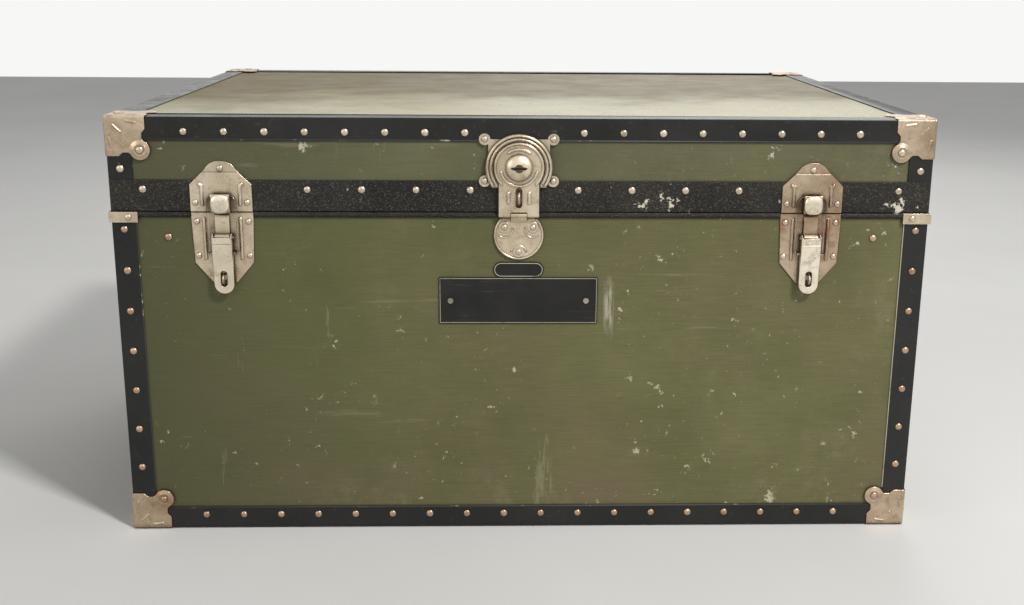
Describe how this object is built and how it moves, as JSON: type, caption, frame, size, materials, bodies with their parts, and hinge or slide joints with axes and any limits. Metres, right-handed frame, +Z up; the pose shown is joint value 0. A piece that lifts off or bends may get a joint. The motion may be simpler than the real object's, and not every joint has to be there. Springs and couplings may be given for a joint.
{
  "type": "travel trunk",
  "caption": "Plywood travel trunk with a hinged lid, riveted black bindings, nickelled corner caps, two lever latches, a round hasp lock and leather end handles",
  "frame": {"origin": "middle of the bounding box on the floor", "axes": "+X to the right seen from the front, +Y towards the rear hinges, +Z up"},
  "size_m": [0.993, 0.6817, 0.4891],
  "materials": {
    "body_panel": "olive painted covering cloth, worn",
    "lid_panel": "olive painted covering cloth, worn and rubbed",
    "ply": "plain ply",
    "band": "grained near-black fibre",
    "binding": "satin black",
    "leather": "dark brown saddle leather",
    "black_plate": "black enamel, blank",
    "rivet": "aged nickel",
    "steel": "plain steel",
    "nickel": "aged nickel plate"
  },
  "bodies": {
    "trunk": {"badge_plate": "black_plate", "base_bindings": "binding", "base_cap_back_left": "nickel", "base_cap_back_right": "nickel", "base_cap_front_left": "nickel", "base_cap_front_right": "nickel", "body_back": "body_panel", "body_bottom": "body_panel", "body_front": "body_panel", "body_left": "body_panel", "body_plate_rivets": "rivet", "body_right": "body_panel", "body_rim": "binding", "body_rivets": "rivet", "body_upright_bindings": "binding", "collar": "ply", "handle_caps_left": "nickel", "handle_caps_right": "nickel", "handle_left": "leather", "handle_right": "leather", "hasp_disc_plate": "nickel", "hasp_pin": "steel", "hinge_leaves_body": "nickel", "hinge_pins": "steel", "latch_base_left": "nickel", "latch_base_right": "nickel", "latch_staples": "nickel", "lever_pin_left": "steel", "lever_pin_right": "steel", "name_plate": "black_plate", "name_plate_screws": "nickel", "rim_clips": "nickel"},
    "lid": {"hinge_leaves_lid": "nickel", "keeper_left": "nickel", "keeper_right": "nickel", "lid_back": "lid_panel", "lid_band": "band", "lid_cap_back_left": "nickel", "lid_cap_back_right": "nickel", "lid_cap_front_left": "nickel", "lid_cap_front_right": "nickel", "lid_edge_bindings": "binding", "lid_front": "lid_panel", "lid_left": "lid_panel", "lid_plate_rivets": "rivet", "lid_right": "lid_panel", "lid_rivets": "rivet", "lid_top": "lid_panel", "lid_upright_bindings": "binding", "lock_plate": "nickel", "lock_staple": "nickel"},
    "lever_left": {"lever_left": "nickel"},
    "lever_right": {"lever_right": "nickel"},
    "bail_left": {"bail_left": "nickel"},
    "bail_right": {"bail_right": "nickel"},
    "hasp": {"hasp": "nickel", "lock_dome": "nickel"},
    "key_plug": {"key_plug": "nickel"},
    "lock_bolt": {"lock_bolt": "nickel"}
  },
  "joints": [
    {"name": "lid_hinge", "type": "hinge", "parent": "trunk", "child": "lid", "pos_m": [0, 0.33735, 0.3813], "axis": [-1, 0, 0], "range_deg": [0, 100]},
    {"name": "lever_left_turn", "type": "hinge", "parent": "trunk", "child": "lever_left", "pos_m": [-0.335, -0.33135, 0.353], "axis": [-1, 0, 0], "range_deg": [0, 78]},
    {"name": "bail_left_turn", "type": "hinge", "parent": "lever_left", "child": "bail_left", "pos_m": [-0.335, -0.33135, 0.335], "axis": [-1, 0, 0], "range_deg": [-62.4, 0]},
    {"name": "lever_right_turn", "type": "hinge", "parent": "trunk", "child": "lever_right", "pos_m": [0.323, -0.33135, 0.353], "axis": [-1, 0, 0], "range_deg": [0, 78]},
    {"name": "bail_right_turn", "type": "hinge", "parent": "lever_right", "child": "bail_right", "pos_m": [0.323, -0.33135, 0.335], "axis": [-1, 0, 0], "range_deg": [-62.4, 0]},
    {"name": "hasp_hinge", "type": "hinge", "parent": "trunk", "child": "hasp", "pos_m": [-0.006, -0.32945, 0.3786], "axis": [1, 0, 0], "range_deg": [0, 130]},
    {"name": "key_turn", "type": "hinge", "parent": "hasp", "child": "key_plug", "pos_m": [-0.006, -0.33525, 0.432], "axis": [0, -1, 0], "range_deg": [0, 90.1]},
    {"name": "bolt_slide", "type": "slide", "parent": "hasp", "child": "lock_bolt", "axis": [0, 0, 1], "range_m": [0, 0.00424]}
  ],
  "couplings": [
    {"joint": "bail_left_turn", "follows": "lever_left_turn", "ratio": -0.8},
    {"joint": "bail_right_turn", "follows": "lever_right_turn", "ratio": -0.8},
    {"joint": "key_turn", "follows": "bolt_slide", "rad_per_m": 370.47}
  ]
}
